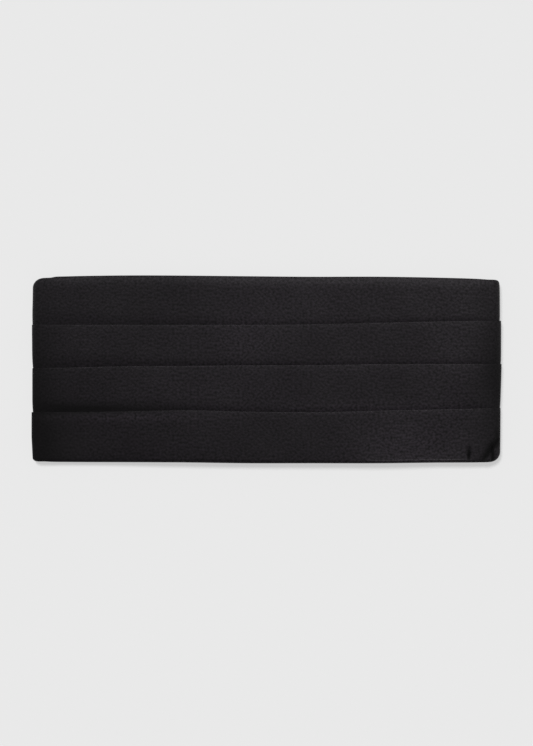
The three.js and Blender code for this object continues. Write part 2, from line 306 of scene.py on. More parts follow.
def ends_stand_in(y, stops_of):
    """How far both folded ends stand in at a height. It runs straight from stop to stop, and fades out
    along the wing and the front."""
    inset = np.zeros_like(y)
    for side, name in ((-1, "left"), (1, "right")):
        heights, values = stops_of(side, name)
        values = np.interp(y, heights, np.array(values) * MM) + corner_inset(name, y)
        inset = np.where(path["side"][:, None] == side, values, inset)
    return inset * path["end"][:, None]


def pleat_insets(pleat, upper, lower):
    """A pleat's insets as a function of the height, through the three that its row gives."""

    def stops(side, name):
        ends = dict(zip(LINES, line_ends(side)))
        heights = [ends[lower], (ends[upper] + ends[lower]) / 2, ends[upper]]
        return heights, END_INSETS[pleat][name][::-1]

    return lambda y: ends_stand_in(y, stops)


def gather_share(gather, x, y):
    """How much of a gather there is at a point: most on its line, and less beside it by a bell curve with
    its own reach on the left and right of the line. It thins to nothing at both ends."""
    start = np.array(gather["from"]) * MM
    leg = np.array(gather["to"]) * MM - start
    off_x, off_y = x - start[0], y - start[1]
    share = np.clip((off_x * leg[0] + off_y * leg[1]) / (leg @ leg), 0, 1)
    away = np.hypot(off_x - share * leg[0], off_y - share * leg[1])
    widest = gather["widest"]
    full = np.where(share < widest, share / widest, (1 - share) / (1 - widest)) ** GATHER_SWELL
    flank = np.where(leg[0] * off_y > leg[1] * off_x, gather["left"], gather["right"]) * MM
    reach = flank * (GATHER_NARROWEST + (1 - GATHER_NARROWEST) * full)
    return full * np.exp(-((away / reach) ** 2))


def painted_light_and_shade(x, y):
    """The painted shade at a point, as a share of the light taken off: some in each soft patch by a bell
    curve, and all of it where a gather is deepest, as painted shade in its crease. Below 0 it is painted
    light, and the cloth is brighter."""
    left_unshaded = np.ones_like(x)
    for patch in PAINTED_SHADE_PATCHES:
        off_x = (x - patch["middle"][0] * MM) / (patch["reach"][0] * MM)
        off_y = (y - patch["middle"][1] * MM) / (patch["reach"][1] * MM)
        left_unshaded *= 1 - patch["darkening"] * np.exp(-(off_x**2) - off_y**2)
    for gather in GATHERS:
        left_unshaded *= 1 - gather_share(gather, x, y)
    return 1 - left_unshaded


def relief(x, y):
    """The front's unevenness: the slopes where it lies lower, slow waves, and the gathers."""
    height = np.zeros_like(x)
    for slope in SLOPES:
        off_x, off_y = x - slope["from"][0] * MM, y - slope["from"][1] * MM
        across = off_x * slope["lean"][0] + off_y * slope["lean"][1]
        height += slope["height"] * MM * smooth(across / (slope["over"] * MM))
    for wave in WAVES:
        turn = x / (wave["along"] * MM) + y / (wave["across"] * MM)
        height += wave["height"] * MM * np.sin(2 * math.pi * turn + wave["start"])
    for gather in GATHERS:
        height -= gather["depth"] * MM * gather_share(gather, x, y)
    return height


def place(y, depth, inset):
    """A height on the panel and a depth below the path, as a point."""
    press = (1 - (1 - END_PRESS) * path["end"])[:, None]
    x = path["x"][:, None] - path["side"][:, None] * inset
    raised = relief(x, y) * path["front"][:, None]
    out = raised - depth * press
    return np.stack([x + out * path["nx"][:, None], y, path["z"][:, None] + out * path["nz"][:, None]], -1)


def grid_faces(rows, columns, wrap):
    """Quads between neighbouring rows and columns of a grid, closed across the columns if wrap is set."""
    row = np.arange(rows - 1)[:, None]
    column = np.arange(columns if wrap else columns - 1)[None, :]
    after = (column + 1) % columns
    here, below = row * columns, (row + 1) * columns
    return np.stack([here + column, here + after, below + after, below + column], -1).reshape(-1, 4)


def end_faces(columns, first):
    """The faces that close a ring's end: quads from its outer side to its inner one, and a triangle at
    each of its two tips, which are point 0 and the point halfway round."""
    half = columns // 2
    near = np.arange(1, half - 1)
    quads = np.stack([near, near + 1, columns - near - 1, columns - near], -1) + first
    tips = np.array([[0, 1, columns - 1], [half - 1, half, half + 1]]) + first
    return quads, tips


def make_mesh(name, points, quads, triangles, uv, material):
    """A mesh of the given points, quads and triangles, turned to face outward, with its own UV map."""
    points = points.reshape(-1, 3)
    corners = points[quads]
    volume = np.einsum("ij,ij->i", corners[:, 0], np.cross(corners[:, 1], corners[:, 2])).sum()
    volume += np.einsum("ij,ij->i", corners[:, 0], np.cross(corners[:, 2], corners[:, 3])).sum()
    if volume < 0:
        quads, triangles = quads[:, ::-1], triangles[:, ::-1]
    loops = np.concatenate([quads.ravel(), triangles.ravel()])
    starts = np.concatenate([np.arange(len(quads)) * 4, len(quads) * 4 + np.arange(len(triangles)) * 3])
    mesh = bpy.data.meshes.new(name)
    mesh.vertices.add(len(points))
    mesh.vertices.foreach_set("co", points.astype(np.float32).ravel())
    mesh.loops.add(len(loops))
    mesh.loops.foreach_set("vertex_index", loops.astype(np.int32))
    mesh.polygons.add(len(starts))
    mesh.polygons.foreach_set("loop_start", starts.astype(np.int32))
    mesh.update(calc_edges=True)
    mesh.polygons.foreach_set("use_smooth", np.ones(len(starts), dtype=bool))
    layer = mesh.uv_layers.new(name="cloth")
    layer.data.foreach_set("uv", uv.reshape(-1, 2)[loops].astype(np.float32).ravel())
    mesh.materials.append(material)
    mesh.validate()
    piece = bpy.data.objects.new(name, mesh)
    bpy.context.scene.collection.objects.link(piece)
    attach(piece, "root")
    return piece


def ring_piece(name, points, u, v, material):
    """A closed body of rings, each with a tip at point 0 and another halfway round."""
    rows, columns = points.shape[:2]
    start_quads, start_tips = end_faces(columns, 0)
    last_quads, last_tips = end_faces(columns, (rows - 1) * columns)
    quads = np.concatenate([grid_faces(rows, columns, True), start_quads[:, ::-1], last_quads])
    triangles = np.concatenate([start_tips[:, ::-1], last_tips])
    return make_mesh(name, points, quads, triangles, np.stack([u, v], -1), material)


def thick_cloth(name, middle_y, middle_depth, inset_of, cloth, material, slot):
    """A cloth of even thickness round its middle line: the section's middle line, moved half a thickness
    each way along its normal, with a point beyond each end. Near a wing's tip it thins along a circle."""
    step_y, step_depth = np.gradient(middle_y, axis=1), np.gradient(middle_depth, axis=1)
    length = np.hypot(step_y, step_depth)
    step_y, step_depth = step_y / length, step_depth / length
    half = cloth / 2 * path["cap"][:, None]
    upper = (middle_y - half * step_depth, middle_depth + half * step_y)
    lower = (middle_y + half * step_depth, middle_depth - half * step_y)
    first = (middle_y[:, :1] - half * step_y[:, :1], middle_depth[:, :1] - half * step_depth[:, :1])
    last = (middle_y[:, -1:] + half * step_y[:, -1:], middle_depth[:, -1:] + half * step_depth[:, -1:])
    y, depth = (
        np.concatenate([first[k], upper[k], last[k], lower[k][:, ::-1]], axis=1) for k in (0, 1)
    )
    points = place(y, depth, inset_of(y))
    run = np.hypot(np.diff(middle_y, axis=1), np.diff(middle_depth, axis=1))
    across = np.concatenate([np.zeros((len(run), 1)), np.cumsum(run, axis=1)], axis=1)
    v = np.concatenate([across[:, :1], across, across[:, -1:], across[:, ::-1]], axis=1)
    u = np.broadcast_to(path["run"][:, None], v.shape)
    piece = ring_piece(name, points, u, v, material)
    # Painted shade and painted light from the patches, and painted shade in the gathers' creases, on faces
    # that look up
    painted_shade = piece.data.attributes.new("painted_shade", "FLOAT", "POINT")
    over = np.clip(2 * path["nz"], 0, 1)[:, None]
    painted_shade.data.foreach_set("value", (over * painted_light_and_shade(points[..., 0], y)).astype(np.float32).ravel())
    return piece


def across_panel(upper, lower, shares):
    """Heights at shares of the way from an upper line down to a lower one."""
    return lines[upper] + (lines[lower] - lines[upper]) * np.asarray(shares)[None, :]


def falling(share):
    """The fall of a face into the mouth of the next pleat: a slow lean over the whole pleat, and a late
    fall by a power of its last part. At the left all of it is late and slow, and at the right half of it
    is late and steep."""
    right = smooth((path["x"] / HALF_LENGTH + 0.9) / 1.3)[:, None]
    late = np.clip((share - LATE_FALL) / (1 - LATE_FALL), 0, 1) ** (2.8 + 6 * right)
    lean = share**1.5
    return late + 0.5 * right * (lean - late)


def rising(share, end):
    """From 1 at the fold to 0 at a share of the face, as a cube."""
    return np.clip(1 - share / end, 0, 1) ** 3


def fold_turn(fold, dip):
    """The half circle of cloth round a pressed fold, from the face to the hidden return."""
    angles = np.linspace(math.pi / 2, -math.pi / 2, 9)[None, :]
    y = fold - CLOTH / 2 - FOLD_RADIUS + FOLD_RADIUS * np.cos(angles)
    depth = dip + CLOTH / 2 + FOLD_RADIUS * (1 - np.sin(angles))
    return y, depth


def edge_roll(edge, side, face_depth):
    """The half circle of cloth round the backing's edge, from the face to the hem at the back."""
    radius = (HEM_BACK - face_depth - CLOTH) / 2
    angles = np.linspace(math.pi / 2, -math.pi / 2, 13)[None, :]
    y = edge - side * (CLOTH / 2 + radius - radius * np.cos(angles))
    depth = face_depth + CLOTH / 2 + radius * (1 - np.sin(angles))
    return y, depth + 0 * y


def turned_hem(edge, side, from_y):
    """The hem at the back, flat on the lining, from the roll inward."""
    shares = np.linspace(0.1, 1, 9)[None, :]
    y = from_y + (edge - side * HEM_TURN - from_y) * shares
    return y, HEM_BACK - CLOTH / 2 + 0 * y


def joined(*parts):
    """The parts of a section, one after the other: their heights and their depths."""
    return tuple(np.concatenate([part[k] + 0 * lines["rim"] for part in parts], axis=1) for k in (0, 1))


def reversed_part(part):
    """A part of a section, run the other way."""
    return part[0][:, ::-1], part[1][:, ::-1]


# Where the points of a section lie on a face, closer together at its fold and in its fall
NEAR_FOLD = [0.02, 0.04, 0.07, 0.11]
IN_FALL = np.linspace(0.73, 1, 14)
FACE_SHARES = np.concatenate([NEAR_FOLD, np.linspace(0.16, 0.7, 16), IN_FALL])
NEAR_ROLL = np.linspace(RIM_FACE_START, 0.3, 14)[1:]
RIM_FACE_SHARES = np.concatenate([NEAR_ROLL, np.linspace(0.33, 0.7, 12), IN_FALL])
HEM_FACE_SHARES = np.concatenate([NEAR_FOLD, np.linspace(0.16, 0.36, 6), np.linspace(0.385, 0.94, 44)])
LINING_SHARES = np.concatenate(
    [[0, 0.004, 0.01, 0.02], np.linspace(0.04, 0.84, 34), np.linspace(0.86, 0.985, 14), [0.99, 0.996, 1]]
)


def face_part(upper, lower, shares, depth_of):
    """A pleat's face, from its upper line to its lower one."""
    y = across_panel(upper, lower, shares)
    return y, depth_of(np.asarray(shares)[None, :]) + CLOTH / 2


def tuck_part(fold, below):
    """The cloth of a pleat that runs on, flat, under the next pleat."""
    shares = np.linspace(0.06, TUCK_SHARE, 4)
    y = across_panel(fold, below, shares)
    return y, MOUTH_DEPTH + CLOTH / 2 + 0 * y


def return_part(fold, below, depth_of):
    """The hidden return behind a fold, as deep below the face as the fold is thick."""
    shares = np.linspace(0.04, RETURN_SHARE, 7)
    y = across_panel(fold, below, shares)
    return y, depth_of(shares[None, :]) + 2 * FOLD_RADIUS + CLOTH / 2


def middle_depth(share):
    """A middle pleat's face: a little low at its fold, flat, and falling to the next pleat's mouth."""
    return FOLD_DIP * rising(share, 0.22) + MOUTH_DEPTH * falling(share)


def top_depth(share):
    """The uppermost pleat's face: low at the rim, most of all in the right half, and falling to the next
    pleat's mouth."""
    rise = 0.85 + 0.5 * smooth((path["x"] / HALF_LENGTH + 0.5) / 0.5)[:, None]
    return RIM_DIP + rise * MM * rising(share, 0.3) + (MOUTH_DEPTH - RIM_DIP) * falling(share)


def bottom_depth(share):
    """The lowest pleat's face: a little low at its fold, and easing down to the hem, most at both ends.
    Between the middle and the right end it eases a little up instead."""
    u = path["x"] / HALF_LENGTH
    change = 0.45 - 0.45 * smooth((u + 0.8) / 0.8) - 0.5 * smooth((u - 0.3) / 0.25)
    change += 0.8 * smooth((u - 0.8) / 0.15)
    drop = (HEM_DROP + change * path["front"])[:, None] * MM
    return FOLD_DIP * rising(share, 0.2) + drop * np.clip((share - 0.6) / 0.4, 0, 1) ** 3


def middle_pleat(name, fold, mouth, below, material):
    """A pleat between two others: its return, the fold, its face and its tuck."""
    folded = fold_turn(lines[fold], middle_depth(np.zeros((1, 1))))
    middle = joined(
        reversed_part(tuck_part(mouth, below)),
        reversed_part(face_part(fold, mouth, FACE_SHARES, middle_depth)),
        folded,
        return_part(fold, mouth, middle_depth),
    )
    insets = pleat_insets(name, fold, mouth)
    piece = thick_cloth(name + "_cloth", *middle, insets, CLOTH, material, "shell_cloth")
    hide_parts(name)


def top_pleat(material):
    """The uppermost pleat: its hem at the back, the roll round the rim, its face and its tuck."""
    roll = edge_roll(lines["rim"], 1, top_depth(np.full((1, 1), RIM_FACE_START)))
    middle = joined(
        reversed_part(turned_hem(lines["rim"], 1, roll[0][:, -1:])),
        reversed_part(roll),
        face_part("rim", "fold_a", RIM_FACE_SHARES, top_depth),
        tuck_part("fold_a", "fold_b"),
    )
    insets = pleat_insets("top_pleat", "rim", "fold_a")
    piece = thick_cloth("top_pleat_cloth", *middle, insets, CLOTH, material, "shell_cloth")
    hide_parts("top_pleat")


def bottom_pleat(material):
    """The lowest pleat: its return, the fold, its face, the roll round the hem and the hem at the back."""
    roll = edge_roll(lines["hem"], -1, bottom_depth(np.ones((1, 1))))
    folded = fold_turn(lines["fold_c"], bottom_depth(np.zeros((1, 1))))
    middle = joined(
        reversed_part(return_part("fold_c", "hem", bottom_depth)),
        reversed_part(folded),
        face_part("fold_c", "hem", HEM_FACE_SHARES, bottom_depth),
        roll,
        turned_hem(lines["hem"], -1, roll[0][:, -1:]),
    )
    insets = pleat_insets("bottom_pleat", "fold_c", "hem")
    piece = thick_cloth("bottom_pleat_cloth", *middle, insets, CLOTH, material, "shell_cloth")
    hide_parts("bottom_pleat")


def lining_stops(side, name):
    """The lining stands in with the cloth that lies on it at each height: from the hem up, the lowest
    pleat's lower half, then each upper pleat's lower edge with its tuck, and the rim."""
    rim, fold_a, fold_b, fold_c, hem = line_ends(side)
    heights, values = [hem, (hem + fold_c) / 2], list(END_INSETS["bottom_pleat"][name][:0:-1])
    covers = (("lower_pleat", fold_c, hem), ("upper_pleat", fold_b, fold_c), ("top_pleat", fold_a, fold_b))
    for pleat, fold, below in covers:
        heights += [fold + TUCK_SHARE * (below - fold), fold]
        values += [END_INSETS[pleat][name][2]] * 2
    return heights + [rim], values + [END_INSETS["top_pleat"][name][0]]


def lining_insets(y):
    """The lining's insets at a height."""
    return ends_stand_in(y, lining_stops)


def lining(material):
    """The flat lining that the pleats lie on, with its edges inside the rolls of the rim and the hem."""
    upper, lower = lines["rim"] - LINING_EDGE, lines["hem"] + LINING_EDGE
    y = upper + (lower - upper) * LINING_SHARES[None, :]
    depth = (BACKING_FRONT + BACKING_BACK) / 2 + 0 * y
    thickness = BACKING_BACK - BACKING_FRONT
    piece = thick_cloth("lining_cloth", y, depth, lining_insets, thickness, material, "backing_cloth")
    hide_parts("backing")


STRAP_WALL = 1.1 * MM
STRAP_RETURN = 13 * MM  # the end that comes back round the clasp's bar
STRAP_STEP = 0.7 * MM
STRAP_RISE = 6 * MM  # the stretch over which a strap leaves the wing for the clasp's height
SEWN_GAP = 0.05 * MM
strap_low, strap_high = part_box("strap_right")
STRAP_WIDTH = strap_high.y - strap_low.y
BAR_MIDDLE = (strap_low.z + strap_high.z) / 2
LOOP_RADIUS = (strap_high.z - strap_low.z - STRAP_WALL) / 2
LOOP_X = strap_low.x + LOOP_RADIUS + STRAP_WALL / 2


def strap_line():
    """The strap's middle line in the XZ plane: sewn down on the wing's lining, up over the wing's tip,
    straight to the clasp, half round its bar and a little way back."""
    straight = np.arange(TIP_X + STRAP_SEAM, LOOP_X, -STRAP_STEP)
    sewn = BACKING_BACK + STRAP_WALL / 2 + SEWN_GAP
    free = BAR_MIDDLE + LOOP_RADIUS
    rise = smooth((TIP_X + MM - straight) / STRAP_RISE)
    over = np.stack([straight, sewn + (free - sewn) * rise], -1)
    angles = np.linspace(math.pi / 2, 3 * math.pi / 2, 17)
    round_bar = np.stack([np.cos(angles), np.sin(angles)], -1)
    loop = np.array([LOOP_X, BAR_MIDDLE]) + LOOP_RADIUS * round_bar
    back_x = np.arange(LOOP_X + STRAP_STEP, LOOP_X + STRAP_RETURN, STRAP_STEP)
    back = np.stack([back_x, BAR_MIDDLE - LOOP_RADIUS + 0 * back_x], -1)
    return np.concatenate([over, loop, back])


def strap(side, material):
    """A woven elastic strap: a flat band with round edges, carried along the strap's middle line, whose
    ends thin along a circle."""
    line = strap_line()
    tangent = np.gradient(line, axis=0)
    tangent /= np.linalg.norm(tangent, axis=1)[:, None]
    run = np.concatenate([[0], np.cumsum(np.linalg.norm(np.diff(line, axis=0), axis=1))])
    end_gap = np.minimum(run, run[-1] - run)
    cap = np.sqrt(1 - (1 - np.clip(end_gap / (0.5 * STRAP_WALL), 0.03, 1)) ** 2)
    half, half_width = STRAP_WALL / 2, STRAP_WIDTH / 2
    turn = np.radians([22, 45, 68])
    edge_y = half_width - half + half * np.cos(turn)
    flat_y = np.linspace(half_width - half, half - half_width, 19)
    y = np.concatenate([edge_y, flat_y, -edge_y[::-1]])
    level = half * np.concatenate([np.sin(turn), np.ones_like(flat_y), np.sin(turn[::-1])])
    ring_y = np.concatenate([[half_width], y, [-half_width], y[::-1]])
    ring_level = np.concatenate([[0], level, [0], -level[::-1]])
    out = cap[:, None] * ring_level[None, :]
    x = line[:, :1] - out * tangent[:, 1:]
    z = line[:, 1:] + out * tangent[:, :1]
    points = np.stack([side * x, ring_y[None, :] + 0 * x, z], -1)
    u, v = run[:, None] + 0 * x, ring_y[None, :] + 0 * x
    name = "strap_left" if side < 0 else "strap_right"
    piece = ring_piece(name + "_webbing", points, u, v, material)
    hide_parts(name)


MERGE_STEP = 0.001 * MM
CLASP_EDGE = 0.3 * MM


def clasp(material):
    """The frame's plate with its doubled points merged, and its edges rounded."""
    source = frame["nodes"]["clasp"].data
    points = np.empty(len(source.vertices) * 3)
    source.vertices.foreach_get("co", points)
    corners = np.empty(len(source.loops), dtype=np.int32)
    source.loops.foreach_get("vertex_index", corners)
    rounded = np.round(points.reshape(-1, 3) / MERGE_STEP).astype(np.int64)
    unique, index = np.unique(rounded, axis=0, return_inverse=True)
    mesh = bpy.data.meshes.new("clasp_plate")
    mesh.from_pydata(unique * MERGE_STEP, [], index.ravel()[corners].reshape(-1, 3))
    mesh.materials.append(material)
    piece = bpy.data.objects.new("clasp_plate", mesh)
    bpy.context.scene.collection.objects.link(piece)
    bevel = piece.modifiers.new("round_edges", "BEVEL")
    bevel.width = CLASP_EDGE
    bevel.segments = 3
    bevel.limit_method = "ANGLE"
    bevel.angle_limit = math.radians(40)
    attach(piece, "root")
    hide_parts("clasp")


# Stitches, in millimetres. Apart is from one to the next, reach is where a row ends, proud is how far a
# stitch's middle stands off the cloth, and in_hem is how far a hem's stitches lie inside its edge
HEM_STITCH = {"length": 2.6, "radius": 0.14, "apart": 6.5, "reach": 138, "proud": 0.05, "in_hem": 0.9}
STRAP_STITCH = {"length": 1.7, "radius": 0.16, "apart": 2.2, "reach": 11, "proud": 0.04}


def stitches(name, middles, legs, kind, material):
    """Stitches as small bent cylinders. Each runs along its leg, dips into the cloth by the square of the
    way from its middle, and thins towards its ends."""
    length, radius = kind["length"] * MM, kind["radius"] * MM
    along = np.linspace(-1, 1, 7)
    around = np.linspace(0, 2 * math.pi, 8, endpoint=False)
    legs = np.asarray(legs, float)
    up = np.array([0, 0, -1.0])
    across = np.cross(legs, up)
    thin = radius * np.sqrt(np.clip(1 - along**4, 0.02, 1))
    dip = 1.4 * radius * along**2
    centre = np.asarray(middles)[:, None] + legs[:, None] * (along * length / 2)[None, :, None]
    centre = centre - up * dip[None, :, None]
    cosine, sine = (turn(around)[None, None, :, None] for turn in (np.cos, np.sin))
    ring = across[:, None, None] * cosine + up * sine
    points = centre[:, :, None] + ring * thin[None, :, None, None]
    count, rows, columns = points.shape[:3]
    first = (np.arange(count) * rows * columns)[:, None, None]
    quads = (grid_faces(rows, columns, True)[None] + first).reshape(-1, 4)
    fans = np.array([[0, 1, 2, 3], [0, 3, 4, 7], [4, 5, 6, 7]])
    ends = np.concatenate([fans[:, ::-1], fans + (rows - 1) * columns])
    quads = np.concatenate([quads, (ends[None] + first).reshape(-1, 4)])
    u = np.broadcast_to((along * length / 2)[None, :, None], points.shape[:3])
    v = np.broadcast_to((around * radius)[None, None, :], points.shape[:3])
    no_triangles = np.zeros((0, 3), dtype=np.int64)
    make_mesh(name, points, quads, no_triangles, np.stack([u, v], -1), material)


def hem_stitches(material):
    """Slip stitches along both turned hems of the front, on the side that faces down."""
    x = np.arange(-HEM_STITCH["reach"], HEM_STITCH["reach"] + 1, HEM_STITCH["apart"]) * MM
    u = x / FOLD_X
    z = THICKNESS - FRONT_SAG * (1 - u**2) ** 2 - HEM_BACK - HEM_STITCH["proud"] * MM
    middles, legs = [], []
    for line, side in (("rim", 1), ("hem", -1)):
        edge = front_line(line, u)
        turn = HEM_SHARE * (front_line("rim", u) - front_line("hem", u))
        y = edge - side * (turn - HEM_STITCH["in_hem"] * MM)
        middles.append(np.stack([x, y, z + relief(x, y)], -1))
        legs.append(np.broadcast_to([0.94, 0.34 * side, 0], (len(x), 3)))
    stitches("hem_stitches", np.concatenate(middles), np.concatenate(legs), HEM_STITCH, material)


def strap_stitches(material):
    """Two rows of stitches across each strap, through its turned-back end."""
    apart = STRAP_STITCH["apart"]
    y = np.arange(-STRAP_STITCH["reach"], STRAP_STITCH["reach"] + 0.1, apart) * MM
    rows = LOOP_X + STRAP_RETURN - np.array([apart, 2 * apart]) * MM
    x, y = np.meshgrid(np.concatenate([rows, -rows]), y, indexing="ij")
    z = BAR_MIDDLE - LOOP_RADIUS - STRAP_WALL / 2 - STRAP_STITCH["proud"] * MM
    middles = np.stack([x.ravel(), y.ravel(), np.full(x.size, z)], -1)
    legs = np.broadcast_to([0.0, 1.0, 0.0], (x.size, 3))
    stitches("strap_stitches", middles, legs, STRAP_STITCH, material)


class Nodes:
    """Small helpers for wiring one node tree."""

    def __init__(self, tree):
        self.tree = tree

    def add(self, kind, **settings):
        node = self.tree.nodes.new(kind)
        for key, value in settings.items():
            setattr(node, key, value)
        return node

    def link(self, source, target):
        self.tree.links.new(source, target)

    def feed(self, socket, value):
        if isinstance(value, bpy.types.NodeSocket):
            self.link(value, socket)
        else:
            socket.default_value = value

    def math(self, operation, *values):
        node = self.add("ShaderNodeMath", operation=operation)
        for socket, value in zip(node.inputs, values):
            self.feed(socket, value)
        return node.outputs[0]

    def vector(self, operation, *values):
        node = self.add("ShaderNodeVectorMath", operation=operation)
        for socket, value in zip(node.inputs, values):
            self.feed(socket, value)
        return node.outputs[0]

    def scaled(self, vector, scale):
        node = self.add("ShaderNodeVectorMath", operation="SCALE")
        self.link(vector, node.inputs["Vector"])
        self.link(scale, node.inputs["Scale"])
        return node.outputs["Vector"]

    def x_and_y(self, vector):
        node = self.add("ShaderNodeSeparateXYZ")
        self.link(vector, node.inputs[0])
        return node.outputs["X"], node.outputs["Y"]

    def noise(self, at, scale, detail=2.0):
        node = self.add("ShaderNodeTexNoise")
        self.feed(node.inputs["Vector"], at)
        node.inputs["Scale"].default_value = scale
        node.inputs["Detail"].default_value = detail
        node.inputs["Roughness"].default_value = 0.55
        return node.outputs["Fac"]

    def ramp(self, value, low, high, to_low, to_high):
        node = self.add("ShaderNodeMapRange", clamp=True)
        for socket, number in zip(node.inputs, (value, low, high, to_low, to_high)):
            self.feed(socket, number)
        return node.outputs["Result"]

    def mix(self, share, first, second):
        node = self.add("ShaderNodeMix", data_type="RGBA")
        self.feed(node.inputs["Factor"], share)
        self.feed(node.inputs["A"], first)
        self.feed(node.inputs["B"], second)
        return node.outputs["Result"]


# Finishes: the darkest and the lightest colour of each, and the width of its threads
SHELL_TONES = (0.0002, 0.0002, 0.0002, 1), (0.0108, 0.0088, 0.0112, 1)
LINING_TONES = (0.0025, 0.0025, 0.0032, 1), (0.010, 0.010, 0.012, 1)
ELASTIC_TONES = (0.004, 0.004, 0.0045, 1), (0.016, 0.016, 0.018, 1)
CLASP_TONES = (0.010, 0.010, 0.011, 1), (0.020, 0.020, 0.021, 1)
STITCH_TONES = (0.012, 0.012, 0.013, 1), (0.04, 0.04, 0.043, 1)
TABLE_TONES = (0.199, 0.199, 0.199, 1), (0.201, 0.201, 0.201, 1)
SHELL_THREAD = 0.55 * MM
LINING_THREAD = 0.3 * MM
ELASTIC_THREAD = 0.45 * MM
ELASTIC_RIB = 1.1 * MM
STITCH_TURN = 0.35 * MM


def pebble_weave():
    """A node group for a weave of short raised threads, each row set off from the one beside it. Height is
    the product of a sine along the threads and a sine across them, Slub is slow noise along them, and
    Grain is noise of two to three threads each way."""
    group = bpy.data.node_groups.new("pebble_weave", "ShaderNodeTree")
    face = group.interface
    face.new_socket("Cloth", in_out="INPUT", socket_type="NodeSocketVector")
    for name in ("Thread", "Offset"):
        face.new_socket(name, in_out="INPUT", socket_type="NodeSocketFloat")
    for name in ("Height", "Slub", "Grain"):
        face.new_socket(name, in_out="OUTPUT", socket_type="NodeSocketFloat")
    wire = Nodes(group)
    given = wire.add("NodeGroupInput")
    result = wire.add("NodeGroupOutput")
    threads = wire.scaled(given.outputs["Cloth"], wire.math("DIVIDE", 1.0, given.outputs["Thread"]))
    x, y = wire.x_and_y(threads)
    shift = wire.math("MULTIPLY", wire.math("FLOOR", y), given.outputs["Offset"])
    along = wire.math("ADD", wire.math("MULTIPLY", x, 0.5), shift)
    ridge = wire.math("ABSOLUTE", wire.math("SINE", wire.math("MULTIPLY", along, math.pi)))
    rib = wire.math("ABSOLUTE", wire.math("SINE", wire.math("MULTIPLY", y, math.pi)))
    wire.link(wire.math("MULTIPLY", ridge, rib), result.inputs["Height"])
    stretched = wire.vector("MULTIPLY", threads, (0.06, 0.5, 0.5))
    wire.link(wire.noise(stretched, 1.0), result.inputs["Slub"])
    grain = wire.vector("MULTIPLY", threads, (0.33, 0.35, 0.35))
    wire.link(wire.noise(grain, 1.0, detail=0.2), result.inputs["Grain"])
    return group


def new_material(name, colour, roughness):
    """A material with its own shader, and the helper that wires its nodes."""
    material = bpy.data.materials.new(name)
    material.use_nodes = True
    shader = material.node_tree.nodes["Principled BSDF"]
    shader.inputs["Base Color"].default_value = (*colour, 1)
    shader.inputs["Roughness"].default_value = roughness
    return material, shader, Nodes(material.node_tree)


def weave_on(wire, group, thread, offset):
    """The weave laid on a cloth's own UV map, with threads of a width and rows set off by a share."""
    cloth = wire.add("ShaderNodeUVMap", uv_map="cloth")
    weave = wire.add("ShaderNodeGroup", node_tree=group)
    wire.link(cloth.outputs["UV"], weave.inputs["Cloth"])
    weave.inputs["Thread"].default_value = thread
    weave.inputs["Offset"].default_value = offset
    return weave


def bump_on(wire, shader, height, distance):
    """A bump of a real height, in metres, under the shader's normal."""
    bump = wire.add("ShaderNodeBump")
    bump.inputs["Strength"].default_value = 1.0
    bump.inputs["Distance"].default_value = distance
    wire.link(height, bump.inputs["Height"])
    wire.link(bump.outputs["Normal"], shader.inputs["Normal"])


def shell_material(group):
    """Black worsted with a fine pebbly weave: dark, with a soft gloss that the grain breaks up. Where
    painted shade lies its colour falls to black and it loses its gloss, and where the painted shade is
    below 0 its colour is lighter, as painted light."""
    material, shader, wire = new_material("shell_cloth", (0.006, 0.0058, 0.0064), 0.5)
    weave = weave_on(wire, group, SHELL_THREAD, 0.5)
    grain, height, slub = (weave.outputs[name] for name in ("Grain", "Height", "Slub"))
    shade = wire.math("ADD", wire.math("MULTIPLY", height, 0.08), grain)
    colour = wire.mix(wire.ramp(shade, 0.24, 0.85, 0.0, 1.0), *SHELL_TONES)
    # Painted shade and painted light: the attribute darkens the base colour and dulls the gloss, or
    # lightens it below 0
    painted_shade = wire.add("ShaderNodeAttribute", attribute_name="painted_shade").outputs["Fac"]
    left_unshaded = wire.ramp(painted_shade, -0.6, 0.6, 2.0, 0.0)
    wire.link(wire.scaled(colour, left_unshaded), shader.inputs["Base Color"])
    gloss = wire.ramp(grain, 0.2, 0.8, 0.54, 0.40)
    rougher = wire.math("MULTIPLY", wire.math("MAXIMUM", painted_shade, 0.0), 0.45)
    wire.link(wire.math("ADD", gloss, rougher), shader.inputs["Roughness"])
    shader.inputs["Specular IOR Level"].default_value = 0.137
    shader.inputs["Specular Tint"].default_value = (1.0, 0.95, 1.0, 1)
    shader.inputs["Sheen Weight"].default_value = 0.04
    shader.inputs["Sheen Roughness"].default_value = 0.5
    rough = wire.math("ADD", wire.math("MULTIPLY", height, 0.05), grain)
    rough = wire.math("ADD", rough, wire.math("MULTIPLY", slub, 0.15))
    bump_on(wire, shader, rough, 0.105 * MM)
    return material


def lining_material(group):
    """A smooth twill lining, glossier than the shell, with long slubs that catch the light."""
    material, shader, wire = new_material("backing_cloth", (0.007, 0.007, 0.0085), 0.4)
    weave = weave_on(wire, group, LINING_THREAD, 0.25)
    height, slub = weave.outputs["Height"], weave.outputs["Slub"]
    wire.link(wire.mix(wire.ramp(slub, 0.35, 0.65, 0.0, 1.0), *LINING_TONES), shader.inputs["Base Color"])
    wire.link(wire.ramp(slub, 0.35, 0.65, 0.50, 0.34), shader.inputs["Roughness"])
    shader.inputs["Specular IOR Level"].default_value = 0.3
    bump_on(wire, shader, wire.math("ADD", wire.math("MULTIPLY", height, 0.4), slub), 0.08 * MM)
    return material


